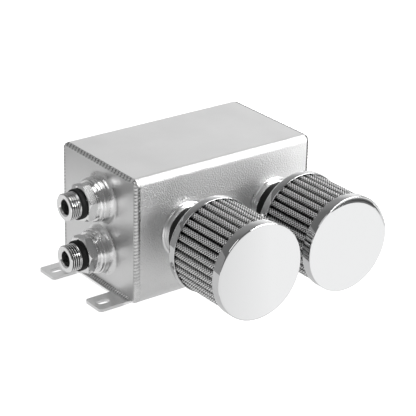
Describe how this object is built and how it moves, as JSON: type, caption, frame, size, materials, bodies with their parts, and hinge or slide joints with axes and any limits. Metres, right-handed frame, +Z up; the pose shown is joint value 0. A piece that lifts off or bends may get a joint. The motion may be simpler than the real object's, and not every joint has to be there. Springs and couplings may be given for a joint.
{
  "type": "oil catch can",
  "caption": "Welded aluminium engine oil catch can with slotted feet, screwed hose unions on one end and pleated breather filters on the front.",
  "frame": {"origin": "underside of the tank, midway between the four mounting slots", "axes": "+X along the tank away from the hose unions, -Y the way the breather filters point, +Z up"},
  "size_m": [0.2253, 0.1869, 0.1012],
  "materials": {
    "sheet_aluminium": "satin",
    "turned_aluminium": "machined",
    "weld_metal": "rippled weld bead",
    "chrome": "polished",
    "black_rubber": "matt",
    "filter_cloth": "pleated cloth under wire gauze",
    "screen_steel": "plain",
    "plated_steel": "bright plated",
    "soft_washer": "plain"
  },
  "bodies": {
    "tank": {"tank_wrap": "sheet_aluminium", "left_end_plate": "sheet_aluminium", "right_end_plate": "sheet_aluminium", "left_end_weld": "weld_metal", "right_end_weld": "weld_metal", "left_foot_weld": "weld_metal", "right_foot_weld": "weld_metal", "rear_seam_weld": "weld_metal", "inlet_baffle": "sheet_aluminium", "centre_baffle": "sheet_aluminium", "upper_port_bung": "turned_aluminium", "upper_port_weld": "weld_metal", "upper_port_seal": "turned_aluminium", "upper_port_union": "turned_aluminium", "upper_port_ring": "black_rubber", "lower_port_bung": "turned_aluminium", "lower_port_weld": "weld_metal", "lower_port_seal": "turned_aluminium", "lower_port_union": "turned_aluminium", "lower_port_ring": "black_rubber", "left_spigot": "turned_aluminium", "left_spigot_weld": "weld_metal", "right_spigot": "turned_aluminium", "right_spigot_weld": "weld_metal", "drain_bung": "turned_aluminium", "drain_bung_weld": "weld_metal"},
    "left_filter": {"left_filter_neck": "black_rubber", "left_filter_base_ring": "chrome", "left_filter_pleats": "filter_cloth", "left_filter_screen": "screen_steel", "left_filter_potting": "black_rubber", "left_filter_cap": "chrome"},
    "right_filter": {"right_filter_neck": "black_rubber", "right_filter_base_ring": "chrome", "right_filter_pleats": "filter_cloth", "right_filter_screen": "screen_steel", "right_filter_potting": "black_rubber", "right_filter_cap": "chrome"},
    "drain_washer": {"drain_washer": "soft_washer"},
    "drain_plug": {"drain_plug": "plated_steel"}
  },
  "joints": [
    {"name": "left_filter_pull", "type": "slide", "parent": "tank", "child": "left_filter", "axis": [0, -1, 0], "range_m": [0, 0.025]},
    {"name": "right_filter_pull", "type": "slide", "parent": "tank", "child": "right_filter", "axis": [0, -1, 0], "range_m": [0, 0.025]},
    {"name": "drain_washer_travel", "type": "slide", "parent": "tank", "child": "drain_washer", "axis": [1, 0, 0], "range_m": [0, 0.0105]},
    {"name": "drain_plug_turn", "type": "hinge", "parent": "drain_washer", "child": "drain_plug", "pos_m": [0.0895, 0, 0.0199], "axis": [1, 0, 0], "range_deg": [0, 2600]}
  ],
  "couplings": [
    {"joint": "drain_plug_turn", "follows": "drain_washer_travel", "rad_per_m": 4188.8}
  ]
}
